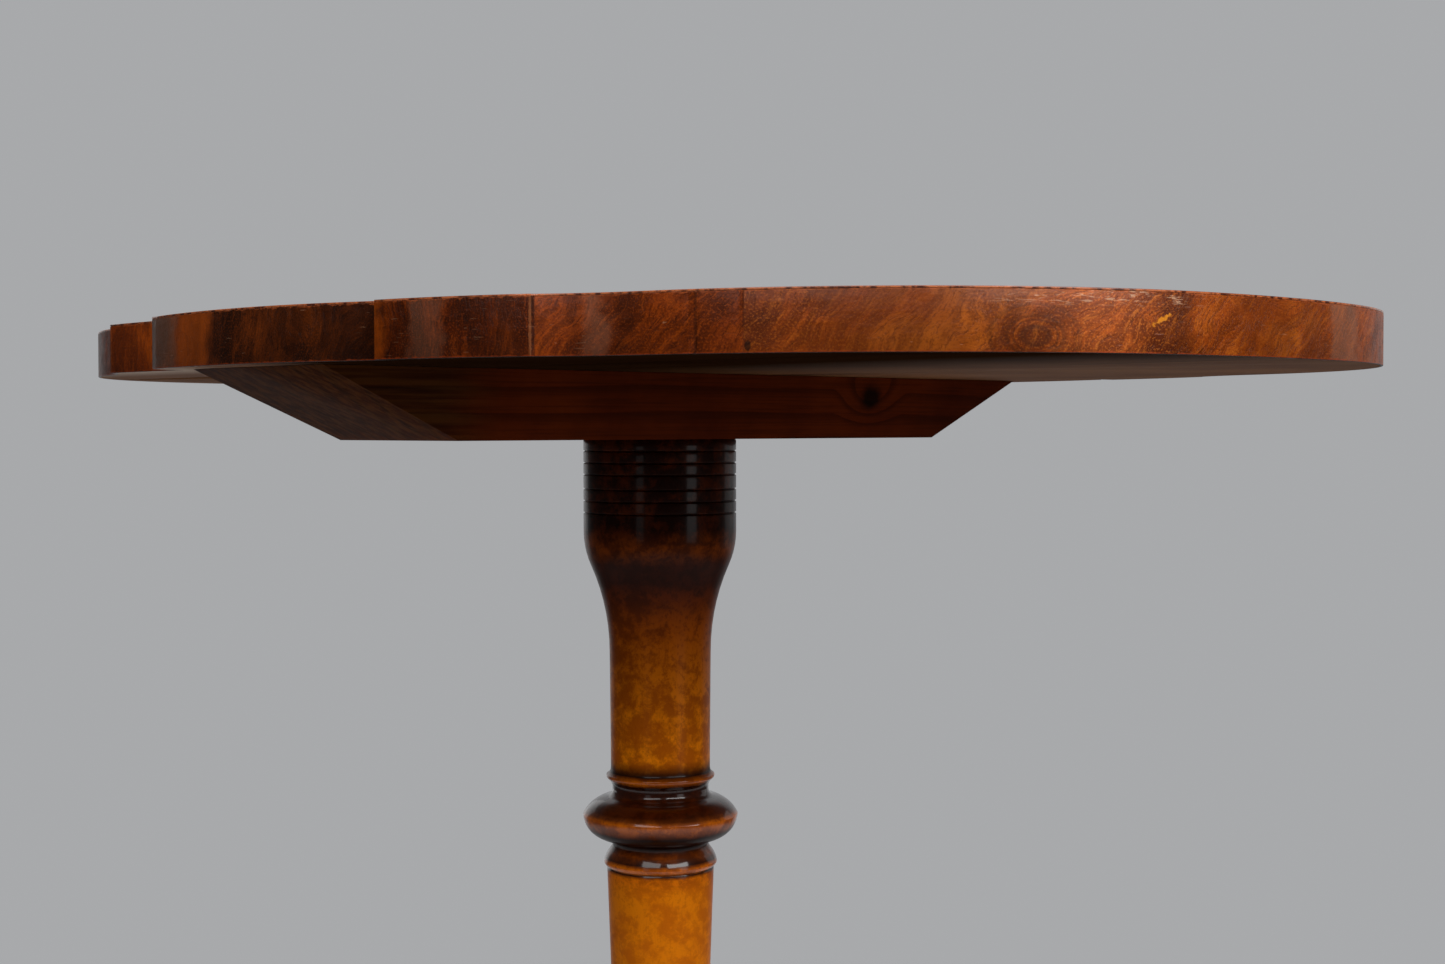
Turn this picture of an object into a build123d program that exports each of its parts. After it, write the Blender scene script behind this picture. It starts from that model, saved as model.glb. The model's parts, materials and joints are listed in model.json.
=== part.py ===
"""Tilt top table: a scalloped veneered top hinged to a bearer block on a turned birch column with three legs.

Millimetres, +Z up. The origin is on the floor under the centre of the top. +X runs along the top's long axis
and +Y along the bearer block. The column stands a little off the centre, towards -X, the hinge side.
"""
from build123d import *
from dataclasses import dataclass
from math import cos, radians, sin
import os

# ---- driving dimensions: the top ----
HEIGHT = 740.0              # floor to the face of the top
HALF_LENGTH = 381.5         # top, along X
HALF_WIDTH = 290.0          # top, along Y
FACE_VENEER = 1.0
EDGE_VENEER = 1.2
BOARD = 25.0
LOBE_ROUND = 8.0            # how far before its end the middle lobe of each long side rounds over
NOTCH_FLAT = 1.0            # width of the notch's flat bottom
STEP = 2.0                  # how far the outline steps in after the tab
DIP_RADIUS = 130.0          # hollow between the tab and the end lobe
END_RADIUS = 400.0          # the flat round of the very end
SHOULDER_RADIUS = 206.0     # the rounder shoulder of the end lobe
END_HALF_ANGLE = 10.2       # where the end arc meets the shoulder arc


@dataclass
class LongSide:
    """Half of a long side, from its middle towards one end. The two halves were sawn by eye and differ."""
    lobe_half: float        # X where the middle lobe ends
    lobe_shoulder: float    # Y where the lobe starts to round over
    lobe_end: float         # Y at the bottom of the notch beside the lobe
    tab_start: float        # Y of the tab's corner beside the lobe
    tab_middle: float
    tab_end: float          # Y of the tab's outer corner
    tab_reach: float        # X of the tab's outer corner


FRONT = LongSide(97.8, 274.6, 266.0, 279.0, 271.2, 256.5, 176.3)
BACK = LongSide(101.0, 279.0, 259.0, 259.6, 259.4, 257.0, 177.5)
PLANK_JOINTS = (-176.0, -60.0, 68.0, 182.0)     # Y of the glue joints of the core
FRONT_JOINTS = (-227.4, -219.2, 0.0)            # Y of the joints of the edge veneer on the +X end
BACK_JOINTS = (-120.0, 0.0, 150.0)              # and on the -X end

# ---- driving dimensions: block and column ----
COLUMN_X = -20.4            # column's axis
BLOCK_THICKNESS = 35.8
BLOCK_TOP_HALF_WIDTH = 57.3
BLOCK_BOTTOM_HALF_WIDTH = 50.9
BLOCK_TOP_REACH = (265.0, 257.0)    # -Y end, +Y end
BLOCK_BOTTOM_REACH = 182.5
SEAT_GAP = 0.2              # the top rests on the block through this film of air
TENON_RADIUS = 22.0
TENON_SHORT = 1.0           # the tenon stops this much below the block's face

# ---- derived levels ----
CORE_TOP = HEIGHT - FACE_VENEER
UNDERSIDE = CORE_TOP - BOARD
BLOCK_TOP = UNDERSIDE - SEAT_GAP
BLOCK_BOTTOM = BLOCK_TOP - BLOCK_THICKNESS

# ---- hinges ----
HINGE_X = COLUMN_X - BLOCK_TOP_HALF_WIDTH - 4.0
HINGE_Z = UNDERSIDE - SEAT_GAP / 2
HINGE_LENGTH = 60.0
HINGE_SCREW_LENGTH = 15.0
HINGE_KNUCKLES = 5
KNUCKLE_RADIUS = 4.0
KNUCKLE_GAP = 0.3
PIN_RADIUS = 2.0
PIN_CLEARANCE = 0.05
LEAF_WIDTH = 30.0
LEAF_THICKNESS = 2.0
HINGE_Y = {"left": -150.0, "right": 150.0}

# ---- slide bolt that locks the top ----
BOLT_Y = 47.0
BOLT_WIDTH = 10.0
BOLT_THICKNESS = 5.0
BOLT_TRAVEL = 10.0
KNOB_X = -58.0
BOLT_TIP_X = 17.0
BOLT_TOP = BLOCK_TOP - 2.2
COVER = (-72.0, 12.0, 30.0, 1.8)    # low X, high X, width, thickness of the cover plate
STAPLE_X = 21.5
STAPLE_THICKNESS = 3.0
STAPLE_WIDTH = 18.0
STAPLE_DROP = 15.0

# ---- column members: radius and drop below the face of the top ----
CAPITAL_RADIUS = 43.75
SHAFT_RADIUS = 28.5
NECK_RADIUS = 27.6
RING_RADIUS = 44.5
LOWER_SHAFT_RADIUS = 30.4
SHOULDER_DROP = 114.5
SHOULDER_SLOPE = 24.0       # degrees, where the shoulder turns into the cove
GROOVE_DROPS = [68.8 + 6.7 * i for i in range(3)] + [90.4 + 6.8 * i for i in range(3)]
GROOVE_DEPTH = 0.9
GROOVE_HALF = 0.7
HUB_RADIUS = 41.0
HUB_TOP = 222.0
HUB_BOTTOM = 96.0

# ---- legs ----
LEG_THICKNESS = 34.0
LEG_INNER = 30.0            # the blank starts inside the hub, which then trims it
LEG_TOP = 206.0
TOE_HEIGHT = 47.0
LEG_SEAT = 92.0             # flat under the leg's root, where the iron plate sits
LEG_ANGLES = {"leg_back": 180.0, "leg_left": -60.0, "leg_right": 60.0}
DOVETAIL_TOP = 204.0
DOVETAIL_DEPTH = 17.0
DOVETAIL_NECK = 16.0
DOVETAIL_TAIL = 22.0
PLATE_THICKNESS = 2.5
PLATE_ARM = 86.0
PLATE_WIDTH = 26.0
PLATE_DISC_RADIUS = 32.0
HUB_SCREW_RADIUS = 20.0
LEG_SCREW_RADIUS = 72.0
PLATE_SCREW_LENGTH = 20.0


def box(x0, x1, y0, y1, z0, z1):
    return Pos((x0 + x1) / 2, (y0 + y1) / 2, (z0 + z1) / 2) * Box(x1 - x0, y1 - y0, z1 - z0)


def rod(x, y, z0, z1, radius):
    return Pos(x, y, (z0 + z1) / 2) * Cylinder(radius, z1 - z0)


def screw(x, y, head_z, length, direction, head=4.0, shank=1.9):
    """Countersunk wood screw. direction is +1 where the point is above the head, -1 where it is below."""
    cone = Cone(shank, head, 2.4) if direction < 0 else Cone(head, shank, 2.4)
    body = Pos(x, y, head_z + direction * 1.2) * cone
    tip = head_z + direction * length
    body += rod(x, y, min(head_z, tip), max(head_z, tip), shank)
    slot = box(x - head, x + head, y - 0.5, y + 0.5, head_z - 0.8, head_z + 0.8)
    return body - slot


# ---- the scalloped outline ----
def heading(degrees):
    return Vector(cos(radians(degrees)), sin(radians(degrees)))


def outline_quarter(side, inset):
    """Edges from the middle of the long side (x=0) to the middle of the end (y=0), in the +X +Y quarter.

    inset moves the whole outline inwards, for the edge of the core under the edge veneer.
    """
    lobe_x = side.lobe_half - LOBE_ROUND
    lobe_sag = HALF_WIDTH - side.lobe_shoulder
    lobe_radius = (lobe_x ** 2 + lobe_sag ** 2) / (2 * lobe_sag)
    lobe_centre = Vector(0, HALF_WIDTH - lobe_radius)
    lobe_end = (Vector(lobe_x, side.lobe_shoulder) - lobe_centre).normalized()
    lobe_middle = (lobe_end + Vector(0, 1)).normalized()
    shoulder = lobe_centre + lobe_end * (lobe_radius - inset)
    fall = side.lobe_shoulder - side.lobe_end
    rounding = Vector(lobe_x + LOBE_ROUND * 0.62 - inset * 0.8, side.lobe_shoulder - fall * 0.39 - inset * 0.6)
    notch = Vector(side.lobe_half - NOTCH_FLAT - inset, side.lobe_end - inset)
    notch_wall = Vector(side.lobe_half + inset, side.lobe_end - inset)
    tab_corner = Vector(side.lobe_half + inset, side.tab_start - inset)
    tab_middle = Vector((side.lobe_half + side.tab_reach) / 2, side.tab_middle - inset)
    tab_outer = Vector(side.tab_reach - inset, side.tab_end - inset)

    end_centre = Vector(HALF_LENGTH - END_RADIUS, 0)
    end_radius = END_RADIUS - inset
    away = heading(END_HALF_ANGLE)
    meet = end_centre + away * end_radius
    end_middle = end_centre + heading(END_HALF_ANGLE / 2) * end_radius
    shoulder_centre = end_centre + away * (END_RADIUS - SHOULDER_RADIUS)
    dip_centre = hollow_centre(shoulder_centre, Vector(side.tab_reach, side.tab_end - STEP))
    dip_radius = DIP_RADIUS + inset
    inward = (shoulder_centre - dip_centre).normalized()
    inflection = dip_centre + inward * dip_radius
    step_x = side.tab_reach - inset
    step_in = Vector(step_x, dip_centre.Y - (dip_radius ** 2 - (step_x - dip_centre.X) ** 2) ** 0.5)
    toward_step = (step_in - dip_centre).normalized()
    dip_middle = dip_centre + (inward + toward_step).normalized() * dip_radius
    shoulder_middle = shoulder_centre + (away - inward).normalized() * (SHOULDER_RADIUS - inset)
    return [
        ThreePointArc((0, HALF_WIDTH - inset), lobe_centre + lobe_middle * (lobe_radius - inset), shoulder),
        ThreePointArc(shoulder, rounding, notch),
        Line(notch, notch_wall),
        Line(notch_wall, tab_corner),
        ThreePointArc(tab_corner, tab_middle, tab_outer),
        Line(tab_outer, step_in),
        ThreePointArc(step_in, dip_middle, inflection),
        ThreePointArc(inflection, shoulder_middle, meet),
        ThreePointArc(meet, end_middle, (HALF_LENGTH - inset, 0)),
    ]


def hollow_centre(shoulder_centre, step_in):
    """Centre of the hollow's arc: tangent to the shoulder arc from outside, and through the step's corner."""
    across = step_in - shoulder_centre
    far = SHOULDER_RADIUS + DIP_RADIUS
    along = (far ** 2 - DIP_RADIUS ** 2 + across.length ** 2) / (2 * across.length)
    side = (far ** 2 - along ** 2) ** 0.5
    unit = across.normalized()
    return shoulder_centre + unit * along + Vector(unit.Y, -unit.X) * side


def outline_face(inset=0.0):
    edges = [line.edge() for line in outline_quarter(FRONT, inset)]
    edges += [line.edge().mirror(Plane.YZ) for line in outline_quarter(BACK, inset)]
    edges += [edge.mirror(Plane.XZ) for edge in edges]
    return make_face(edges)


def board_blank(face, low, high):
    return Pos(0, 0, low) * extrude(face, high - low, dir=(0, 0, 1))


# ---- what is cut into the wood to let the brass in ----
def barrel_recess():
    cuts = []
    for y in HINGE_Y.values():
        length = HINGE_LENGTH + 1.0
        groove = Pos(HINGE_X, y, HINGE_Z) * Rot(90, 0, 0) * Cylinder(KNUCKLE_RADIUS + 0.6, length)
        cuts.append(groove)
    return cuts


def leaf_box(y, side, grow=0.0):
    """The flat of a hinge leaf. side is +1 for the top's leaf, above the pin, and -1 for the block's."""
    z0 = HINGE_Z + side * 0.1
    z1 = z0 + side * LEAF_THICKNESS
    half = HINGE_LENGTH / 2
    return box(HINGE_X, HINGE_X + LEAF_WIDTH + grow, y - half - grow, y + half + grow, min(z0, z1), max(z0, z1))


def leaf_screw_places(y):
    far = HINGE_X + LEAF_WIDTH - 9.0
    near = HINGE_X + 13.0
    return [(far, y - 22.0), (near, y), (far, y + 22.0)]


def hinge_screws(side):
    head_z = HINGE_Z + side * 0.1
    places = [place for y in HINGE_Y.values() for place in leaf_screw_places(y)]
    return [screw(x, y, head_z, HINGE_SCREW_LENGTH, side) for x, y in places]


def staple_screws():
    return [screw(STAPLE_X + 8.5, BOLT_Y + dy, UNDERSIDE, 14.0, 1, 3.4, 1.6) for dy in (-9.0, 9.0)]


def cover_screws():
    low, high, width, _ = COVER
    places = [(x, BOLT_Y + dy) for x in (low + 5.0, high - 5.0) for dy in (-10.5, 10.5)]
    return [screw(x, y, BLOCK_TOP, 12.0, -1, 3.0, 1.5) for x, y in places]


def staple_plate():
    return box(STAPLE_X - 8.0, STAPLE_X + 13.0, BOLT_Y - 15.0, BOLT_Y + 15.0, UNDERSIDE, UNDERSIDE + 1.8)


# ---- the top ----
def top_planks(core):
    limits = (-HALF_WIDTH - 1,) + PLANK_JOINTS + (HALF_WIDTH + 1,)
    cuts = barrel_recess() + [leaf_box(y, 1) for y in HINGE_Y.values()] + hinge_screws(1)
    cuts += [staple_plate()] + staple_screws()
    planks = {}
    for index, (low, high) in enumerate(zip(limits[:-1], limits[1:]), start=1):
        plank = core & box(-HALF_LENGTH, HALF_LENGTH, low, high, UNDERSIDE, CORE_TOP)
        for cut in cuts:
            plank = plank - cut
        planks[f"top_plank_{index}"] = plank
    return planks


def face_veneers(face):
    sheet = board_blank(face, CORE_TOP, HEIGHT)
    reach = HALF_LENGTH + 1
    quarters = {
        "face_veneer_1": (0, reach, 0, reach),
        "face_veneer_2": (-reach, 0, 0, reach),
        "face_veneer_3": (-reach, 0, -reach, 0),
        "face_veneer_4": (0, reach, -reach, 0),
    }
    return {name: sheet & box(*xy, CORE_TOP, HEIGHT) for name, xy in quarters.items()}


def edge_veneers(outer, inner):
    """Strips of crossbanding round the edge: lobe and two tabs on each long side, four strips on each end."""
    ring = board_blank(outer, UNDERSIDE, CORE_TOP) - board_blank(inner, UNDERSIDE, CORE_TOP)
    strips = {}
    z = (UNDERSIDE, CORE_TOP)
    reach = HALF_LENGTH + 1
    for side, sign in (("left", -1), ("right", 1)):
        y = sorted((0, sign * reach))
        strips[f"edge_{side}_lobe"] = ring & box(-BACK.lobe_half, FRONT.lobe_half, *y, *z)
        strips[f"edge_{side}_tab_front"] = ring & box(FRONT.lobe_half, FRONT.tab_reach, *y, *z)
        strips[f"edge_{side}_tab_back"] = ring & box(-BACK.tab_reach, -BACK.lobe_half, *y, *z)
    ends = (("front", (FRONT.tab_reach, reach), FRONT_JOINTS), ("back", (-reach, -BACK.tab_reach), BACK_JOINTS))
    for end, x, joints in ends:
        limits = (-reach,) + joints + (reach,)
        for index, (low, high) in enumerate(zip(limits[:-1], limits[1:]), start=1):
            strips[f"edge_{end}_{index}"] = ring & box(*x, low, high, *z)
    return strips


# ---- hinges ----
def knuckle_span(index):
    pitch = HINGE_LENGTH / HINGE_KNUCKLES
    low = -HINGE_LENGTH / 2 + pitch * index + KNUCKLE_GAP / 2
    return low, low + pitch - KNUCKLE_GAP


def hinge_leaf(y, side):
    """One leaf with its knuckles, bored for the pin and for three countersunk screws."""
    mine = (0, 2, 4) if side < 0 else (1, 3)
    leaf = leaf_box(y, side)
    for index in range(HINGE_KNUCKLES):
        low, high = knuckle_span(index)
        middle = Pos(HINGE_X, y + (low + high) / 2, HINGE_Z) * Rot(90, 0, 0)
        if index in mine:
            leaf += middle * Cylinder(KNUCKLE_RADIUS, high - low)
        else:
            leaf -= middle * Cylinder(KNUCKLE_RADIUS + 0.5, high - low + 2 * KNUCKLE_GAP)
    bore = Pos(HINGE_X, y, HINGE_Z) * Rot(90, 0, 0) * Cylinder(PIN_RADIUS + PIN_CLEARANCE, HINGE_LENGTH + 2)
    leaf = leaf - bore
    for cut in hinge_screws(side):
        leaf = leaf - cut
    return leaf


def hinge_pin(y):
    shaft = Cylinder(PIN_RADIUS, HINGE_LENGTH + 0.4)
    return Pos(HINGE_X, y, HINGE_Z) * Rot(90, 0, 0) * shaft


# ---- the bearer block ----
def bearer_block():
    top_low, top_high = BLOCK_TOP_REACH
    with BuildPart() as part:
        with BuildSketch(Plane.XY.offset(BLOCK_TOP)):
            with Locations((COLUMN_X, (top_high - top_low) / 2)):
                Rectangle(2 * BLOCK_TOP_HALF_WIDTH, top_low + top_high)
        with BuildSketch(Plane.XY.offset(BLOCK_BOTTOM)):
            with Locations((COLUMN_X, 0)):
                Rectangle(2 * BLOCK_BOTTOM_HALF_WIDTH, 2 * BLOCK_BOTTOM_REACH)
        loft(ruled=True)
    block = part.part
    low, high, width, thickness = COVER
    half = BOLT_WIDTH / 2 + 0.4
    cuts = [
        rod(COLUMN_X, 0, BLOCK_BOTTOM - 1, BLOCK_TOP + 1, TENON_RADIUS),
        wedge_blank(),
        box(low, high, BOLT_Y - width / 2, BOLT_Y + width / 2, BLOCK_TOP - thickness, BLOCK_TOP + 1),
        box(KNOB_X - 6, STAPLE_X + 12, BOLT_Y - half, BOLT_Y + half, BOLT_TOP - BOLT_THICKNESS - 0.3, BLOCK_TOP + 1),
        box(STAPLE_X - 4.5, STAPLE_X + 6, BOLT_Y - 10, BOLT_Y + 10, BLOCK_TOP - STAPLE_DROP - 1, BLOCK_TOP + 1),
        box(KNOB_X - 3.2, KNOB_X + BOLT_TRAVEL + 3.2, BOLT_Y - 3, BOLT_Y + 3, BLOCK_BOTTOM - 1, BLOCK_TOP + 1),
    ]
    cuts += [leaf_box(y, -1) for y in HINGE_Y.values()] + hinge_screws(-1) + cover_screws() + barrel_recess()
    for cut in cuts:
        block = block - cut
    return block


def wedge_blank():
    """Wedge across the tenon, along Y, driven down from the block's face; it also spreads the block's bore."""
    depth = 24.0
    profile = Polygon((-2.6, 0), (2.6, 0), (0.8, -depth), (-0.8, -depth), align=None)
    wedge = extrude(Plane.XZ * profile, TENON_RADIUS - 0.5, both=True)
    return Pos(COLUMN_X, 0, BLOCK_TOP - TENON_SHORT) * wedge


# ---- slide bolt ----
def catch_bolt():
    bar = box(KNOB_X - 5, BOLT_TIP_X, BOLT_Y - 5, BOLT_Y + 5, BOLT_TOP - BOLT_THICKNESS, BOLT_TOP)
    stem = rod(KNOB_X, BOLT_Y, BLOCK_BOTTOM - 9.0, BOLT_TOP - BOLT_THICKNESS, 2.2)
    return bar + stem


def catch_knob():
    """Small turned knob on the stem, under the block."""
    top = BLOCK_BOTTOM - 1.5
    with BuildPart() as part:
        with BuildSketch(Plane.XZ):
            with BuildLine():
                Polyline((0, top), (4.2, top), (4.2, top - 1.5), (3.0, top - 3.0))
                ThreePointArc((3.0, top - 3.0), (6.4, top - 8.0), (2.6, top - 12.8))
                Polyline((2.6, top - 12.8), (0, top - 13.4), (0, top))
            make_face()
        revolve(axis=Axis.Z)
    knob = Pos(KNOB_X, BOLT_Y, 0) * part.part
    return knob - rod(KNOB_X, BOLT_Y, BLOCK_BOTTOM - 9.0, BLOCK_BOTTOM, 2.2)


def catch_cover():
    low, high, width, thickness = COVER
    plate = box(low, high, BOLT_Y - width / 2, BOLT_Y + width / 2, BLOCK_TOP - thickness, BLOCK_TOP)
    for cut in cover_screws():
        plate = plate - cut
    return plate


def catch_staple():
    """Plate let into the top, with a tongue that drops into the block; the bolt passes through its eye."""
    tongue = box(STAPLE_X - STAPLE_THICKNESS / 2, STAPLE_X + STAPLE_THICKNESS / 2,
                 BOLT_Y - STAPLE_WIDTH / 2, BOLT_Y + STAPLE_WIDTH / 2, UNDERSIDE - STAPLE_DROP, UNDERSIDE)
    eye = box(STAPLE_X - 5, STAPLE_X + 5, BOLT_Y - BOLT_WIDTH / 2 - 0.6, BOLT_Y + BOLT_WIDTH / 2 + 0.6,
              BOLT_TOP - BOLT_THICKNESS - 0.6, BOLT_TOP + 0.6)
    staple = staple_plate() + tongue - eye
    for cut in staple_screws():
        staple = staple - cut
    return staple


# ---- column ----
def column():
    def at(radius, drop):
        return (radius, HEIGHT - drop)

    slope = SHOULDER_SLOPE
    with BuildPart() as part:
        with BuildSketch(Plane.XZ):
            with BuildLine():
                tenon_top = BLOCK_TOP - TENON_SHORT
                Polyline((0, tenon_top), (TENON_RADIUS, tenon_top), (TENON_RADIUS, BLOCK_BOTTOM),
                         (CAPITAL_RADIUS - 0.6, BLOCK_BOTTOM), (CAPITAL_RADIUS, BLOCK_BOTTOM - 1.0),
                         at(CAPITAL_RADIUS, SHOULDER_DROP))
                shoulder = JernArc(at(CAPITAL_RADIUS, SHOULDER_DROP), (0, -1), 48.0, -slope)
                cove = JernArc(shoulder @ 1, shoulder % 1, 122.0, slope)
                # collar: a flare out to a thin lip, and a hollow neck under it
                Line(cove @ 1, at(SHAFT_RADIUS, 250.2))
                ThreePointArc(at(SHAFT_RADIUS, 250.2), at(29.3, 253.0), at(31.0, 254.3))
                ThreePointArc(at(31.0, 254.3), at(31.0, 255.7), at(30.0, 256.9))
                ThreePointArc(at(30.0, 256.9), at(28.1, 259.4), at(NECK_RADIUS, 262.4))
                # big ring: a low dome above, a full round below
                ThreePointArc(at(NECK_RADIUS, 262.4), at(28.5, 265.3), at(31.0, 267.0))
                ThreePointArc(at(31.0, 267.0), at(40.0, 271.2), at(RING_RADIUS, 277.0))
                ThreePointArc(at(RING_RADIUS, 277.0), at(41.9, 284.6), at(31.4, 290.9))
                ThreePointArc(at(31.4, 290.9), at(28.5, 292.5), at(NECK_RADIUS, 295.0))
                # lower bead: a cone with a rounded brim, a thin fillet and a cut line
                Line(at(NECK_RADIUS, 295.0), at(28.6, 296.6))
                ThreePointArc(at(28.6, 296.6), at(31.2, 300.4), at(32.4, 303.7))
                ThreePointArc(at(32.4, 303.7), at(32.2, 305.5), at(31.0, 306.9))
                Polyline(at(31.0, 306.9), at(30.1, 307.7), at(30.7, 308.5), at(LOWER_SHAFT_RADIUS, 316.0),
                         (26.8, 322.0))
                # below this level the turning is a plain vase on a cylindrical hub
                ThreePointArc((26.8, 322.0), (31.2, 317.0), (26.8, 312.0))
                Line((26.8, 312.0), (24.6, 308.0))
                Spline((24.6, 308.0), (28.6, 280.0), (38.6, 250.0), (HUB_RADIUS, 232.0),
                       tangents=[(0, -1), (0, -1)])
                Polyline((HUB_RADIUS, 232.0), (HUB_RADIUS, 227.0), (HUB_RADIUS - 2.0, 225.5),
                         (HUB_RADIUS - 2.0, HUB_TOP + 1.5), (HUB_RADIUS, HUB_TOP), (HUB_RADIUS, HUB_BOTTOM),
                         (0, HUB_BOTTOM), (0, tenon_top))
            make_face()
        revolve(axis=Axis.Z)
    turned = part.part
    for drop in GROOVE_DROPS:
        turned = turned - groove_ring(HEIGHT - drop)
    turned = Pos(COLUMN_X, 0, 0) * turned
    turned = turned - wedge_blank()
    for angle in LEG_ANGLES.values():
        turned = turned - placed_leg(dovetail(), angle)
    for cut in plate_screws(inner=True):
        turned = turned - cut
    return turned


def groove_ring(z):
    profile = Polygon((CAPITAL_RADIUS - GROOVE_DEPTH, z), (CAPITAL_RADIUS + 0.5, z + GROOVE_HALF + 0.4),
                      (CAPITAL_RADIUS + 0.5, z - GROOVE_HALF - 0.4), align=None)
    return revolve(Plane.XZ * profile, Axis.Z)


# ---- legs ----
def placed_leg(shape, angle):
    return Pos(COLUMN_X, 0, 0) * Rot(0, 0, angle) * shape


def dovetail():
    """Sliding dovetail along +X of the hub, open at the bottom, widest at its inner face."""
    inner = HUB_RADIUS - DOVETAIL_DEPTH
    outer = HUB_RADIUS + 0.5
    half_tail = DOVETAIL_TAIL / 2
    half_neck = DOVETAIL_NECK / 2
    plan = Polygon((inner, -half_tail), (outer, -half_neck), (outer, half_neck), (inner, half_tail), align=None)
    return Pos(0, 0, HUB_BOTTOM) * extrude(plan, DOVETAIL_TOP - HUB_BOTTOM)


def leg_blank():
    """S-shaped leg sawn from one plank, along +X, with a padded toe on the floor."""
    with BuildPart() as part:
        with BuildSketch(Plane.XZ):
            with BuildLine():
                Spline((LEG_INNER, LEG_TOP), (72.0, 199.0), (118.0, 164.0), (168.0, 106.0), (222.0, 61.0),
                       (284.0, TOE_HEIGHT), tangents=[(1, 0), (1, 0.06)])
                ThreePointArc((284.0, TOE_HEIGHT), (315.0, 27.0), (298.0, 0.0))
                Line((298.0, 0.0), (254.0, 0.0))
                ThreePointArc((254.0, 0.0), (243.0, 3.5), (236.0, 13.0))
                Spline((236.0, 13.0), (198.0, 30.0), (158.0, 68.0), (122.0, 93.0), (LEG_SEAT, HUB_BOTTOM),
                       tangents=[(-1, 0.25), (-1, 0)])
                Polyline((LEG_SEAT, HUB_BOTTOM), (LEG_INNER, HUB_BOTTOM), (LEG_INNER, LEG_TOP))
            make_face()
        extrude(amount=LEG_THICKNESS / 2, both=True)
    return part.part


def leg(angle):
    hub = rod(0, 0, 0, LEG_TOP + 10.0, HUB_RADIUS)
    body = leg_blank() - hub
    tail = dovetail() & hub
    shape = placed_leg(body + tail, angle)
    for cut in plate_screws(inner=False):
        shape = shape - cut
    return shape


# ---- iron plate under the hub ----
def plate_screws(inner):
    """The inner three go into the hub between the legs, the outer three into the legs."""
    radius = HUB_SCREW_RADIUS if inner else LEG_SCREW_RADIUS
    turn = 60.0 if inner else 0.0
    cuts = []
    for angle in LEG_ANGLES.values():
        direction = radians(angle + turn)
        x = COLUMN_X + radius * cos(direction)
        y = radius * sin(direction)
        cuts.append(screw(x, y, HUB_BOTTOM - PLATE_THICKNESS, PLATE_SCREW_LENGTH, 1))
    return cuts


def spider_plate():
    plate = rod(COLUMN_X, 0, HUB_BOTTOM - PLATE_THICKNESS, HUB_BOTTOM, PLATE_DISC_RADIUS)
    for angle in LEG_ANGLES.values():
        arm = box(0, PLATE_ARM, -PLATE_WIDTH / 2, PLATE_WIDTH / 2, HUB_BOTTOM - PLATE_THICKNESS, HUB_BOTTOM)
        plate += placed_leg(arm, angle)
    for cut in plate_screws(True) + plate_screws(False):
        plate = plate - cut
    return plate


def build():
    outer = outline_face()
    inner = outline_face(EDGE_VENEER)
    nodes = {}
    nodes.update(top_planks(board_blank(inner, UNDERSIDE, CORE_TOP)))
    nodes.update(face_veneers(outer))
    nodes.update(edge_veneers(outer, inner))
    for name, y in HINGE_Y.items():
        nodes[f"hinge_leaf_top_{name}"] = hinge_leaf(y, 1)
        nodes[f"hinge_leaf_block_{name}"] = hinge_leaf(y, -1)
        nodes[f"hinge_pin_{name}"] = hinge_pin(y)
    nodes["hinge_screws_top"] = Compound(children=hinge_screws(1))
    nodes["hinge_screws_block"] = Compound(children=hinge_screws(-1))
    nodes["bearer_block"] = bearer_block()
    nodes["tenon_wedge"] = wedge_blank()
    nodes["catch_bolt"] = catch_bolt()
    nodes["catch_knob"] = catch_knob()
    nodes["catch_cover"] = catch_cover()
    nodes["catch_cover_screws"] = Compound(children=cover_screws())
    nodes["catch_staple"] = catch_staple()
    nodes["catch_staple_screws"] = Compound(children=staple_screws())
    nodes["column"] = column()
    for name, angle in LEG_ANGLES.items():
        nodes[name] = leg(angle)
    nodes["spider_plate"] = spider_plate()
    nodes["spider_plate_screws"] = Compound(children=plate_screws(True) + plate_screws(False))
    return nodes


os.makedirs("parts", exist_ok=True)
for node, shape in build().items():
    export_step(shape, f"parts/{node}.step")
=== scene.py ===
import json
import math
import bmesh
import bpy
from mathutils import Matrix, Vector

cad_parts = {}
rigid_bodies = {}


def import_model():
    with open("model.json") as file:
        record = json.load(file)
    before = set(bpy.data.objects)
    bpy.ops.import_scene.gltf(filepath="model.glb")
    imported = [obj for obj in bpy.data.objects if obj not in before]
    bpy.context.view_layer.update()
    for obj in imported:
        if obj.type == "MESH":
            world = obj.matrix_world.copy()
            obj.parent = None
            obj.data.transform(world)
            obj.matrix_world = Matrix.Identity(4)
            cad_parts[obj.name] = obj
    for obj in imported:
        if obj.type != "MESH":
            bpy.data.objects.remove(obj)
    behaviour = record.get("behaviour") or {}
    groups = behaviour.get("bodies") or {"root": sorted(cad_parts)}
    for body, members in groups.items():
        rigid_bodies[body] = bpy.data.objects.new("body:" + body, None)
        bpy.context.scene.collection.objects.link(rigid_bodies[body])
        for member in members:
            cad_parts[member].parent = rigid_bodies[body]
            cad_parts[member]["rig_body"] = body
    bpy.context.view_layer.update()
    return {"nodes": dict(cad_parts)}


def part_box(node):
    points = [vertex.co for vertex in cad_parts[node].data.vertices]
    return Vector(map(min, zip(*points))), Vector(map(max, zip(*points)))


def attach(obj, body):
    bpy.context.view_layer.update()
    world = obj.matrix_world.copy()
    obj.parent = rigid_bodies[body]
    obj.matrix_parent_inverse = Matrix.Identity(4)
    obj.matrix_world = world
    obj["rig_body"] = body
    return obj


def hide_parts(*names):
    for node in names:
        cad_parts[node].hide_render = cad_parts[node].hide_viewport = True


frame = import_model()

MM = 0.001

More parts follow.
